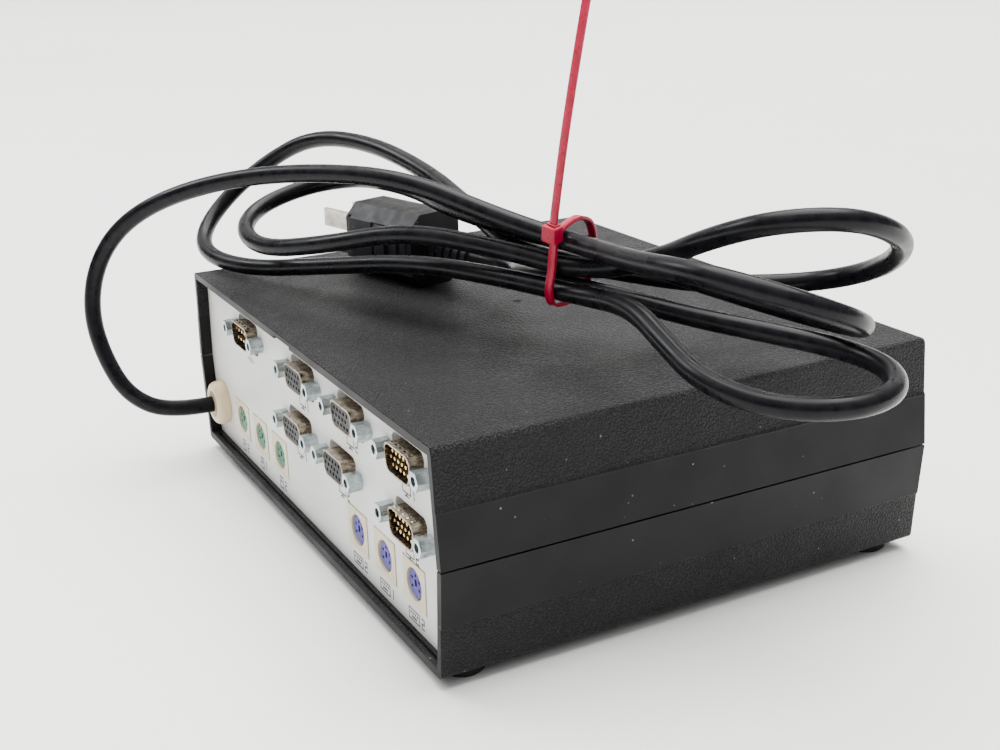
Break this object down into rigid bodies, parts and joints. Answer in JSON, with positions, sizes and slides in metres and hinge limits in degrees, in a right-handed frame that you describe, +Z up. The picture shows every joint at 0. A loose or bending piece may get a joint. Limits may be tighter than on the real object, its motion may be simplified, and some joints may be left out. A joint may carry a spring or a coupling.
{
  "type": "kvm switch",
  "caption": "Desktop switch box with drafted black half shells, a recessed grey connector panel, video, mouse and keyboard ports, and a tied mains cord with plug",
  "frame": {"origin": "on the floor plane under the middle of the box, measured without the cord set", "axes": "+X along the connector panel towards the cord entry, +Y out of the connector panel, +Z up"},
  "size_m": [0.2895, 0.1988, 0.1809],
  "materials": {
    "case_plastic": "grained charcoal ABS",
    "panel_grey": "smooth warm light grey",
    "foot_rubber": "black rubber",
    "screw_steel": "plain steel",
    "zinc_steel": "bluish zinc plate",
    "gold_contact": "gold flashed",
    "circuit_board": "green solder mask",
    "black_component": "moulded black",
    "capacitor_can": "sleeved can",
    "heat_sink_aluminium": "anodised",
    "core_steel": "varnished laminations",
    "coil_tape": "wound tape",
    "fuse_glass": "clear tube",
    "lead_insulation": "PVC insulation",
    "lamp_lens": "tinted lens",
    "rocker_black": "satin black",
    "button_grey": "fine texture",
    "bush_ivory": "aged ivory nylon",
    "cord_black": "satin black PVC",
    "plug_black": "moulded black PVC",
    "blade_nickel": "nickel plate",
    "tie_red": "red nylon",
    "shell_nickel": "warm tin plate",
    "insert_black": "moulded black",
    "mouse_green": "green",
    "keyboard_violet": "violet",
    "socket_cream": "aged cream"
  },
  "bodies": {
    "case": {"board_screws": "screw_steel", "bottom_shell": "case_plastic", "cable_tie": "tie_red", "capacitors": "capacitor_can", "case_screws": "screw_steel", "chips": "black_component", "contact_pins": "gold_contact", "cord_bushing": "bush_ivory", "feet": "foot_rubber", "front_board": "circuit_board", "front_panel": "panel_grey", "fuse_holder": "black_component", "fuse_link": "fuse_glass", "heat_sink": "heat_sink_aluminium", "jackscrews": "zinc_steel", "keyboard_socket_1": "socket_cream", "keyboard_socket_1_core": "keyboard_violet", "keyboard_socket_2": "socket_cream", "keyboard_socket_2_core": "keyboard_violet", "keyboard_socket_3": "socket_cream", "keyboard_socket_3_core": "keyboard_violet", "lamps": "lamp_lens", "link_board": "circuit_board", "link_header": "black_component", "main_board": "circuit_board", "mains_cord": "cord_black", "mains_leads": "lead_insulation", "mouse_socket_1": "socket_cream", "mouse_socket_1_core": "mouse_green", "mouse_socket_2": "socket_cream", "mouse_socket_2_core": "mouse_green", "mouse_socket_3": "socket_cream", "mouse_socket_3_core": "mouse_green", "plug_blades": "blade_nickel", "plug_body": "plug_black", "plug_relief": "plug_black", "rear_panel": "panel_grey", "rocker_housing": "rocker_black", "serial_insert": "insert_black", "serial_shell": "shell_nickel", "switch_bodies": "black_component", "top_shell": "case_plastic", "transformer_coil": "coil_tape", "transformer_core": "core_steel", "video_in_1_insert": "insert_black", "video_in_1_shell": "shell_nickel", "video_in_2_insert": "insert_black", "video_in_2_shell": "shell_nickel", "video_out_insert_1": "insert_black", "video_out_insert_2": "insert_black", "video_out_insert_3": "insert_black", "video_out_insert_4": "insert_black", "video_out_shell_1": "shell_nickel", "video_out_shell_2": "shell_nickel", "video_out_shell_3": "shell_nickel", "video_out_shell_4": "shell_nickel"},
    "select_key_1": {"select_button_1": "button_grey"},
    "select_key_2": {"select_button_2": "button_grey"},
    "rocker": {"power_rocker": "rocker_black"}
  },
  "joints": [
    {"name": "select_key_1_press", "type": "slide", "parent": "case", "child": "select_key_1", "axis": [0, 1, 0], "range_m": [0, 0.0015], "stiffness_N_per_m": 700, "springref_m": -0.0006},
    {"name": "select_key_2_press", "type": "slide", "parent": "case", "child": "select_key_2", "axis": [0, 1, 0], "range_m": [0, 0.0015], "stiffness_N_per_m": 700, "springref_m": -0.0006},
    {"name": "rocker_turn", "type": "hinge", "parent": "case", "child": "rocker", "pos_m": [0.072, -0.0745, 0.0355], "axis": [1, 0, 0], "range_deg": [0, 18]}
  ]
}
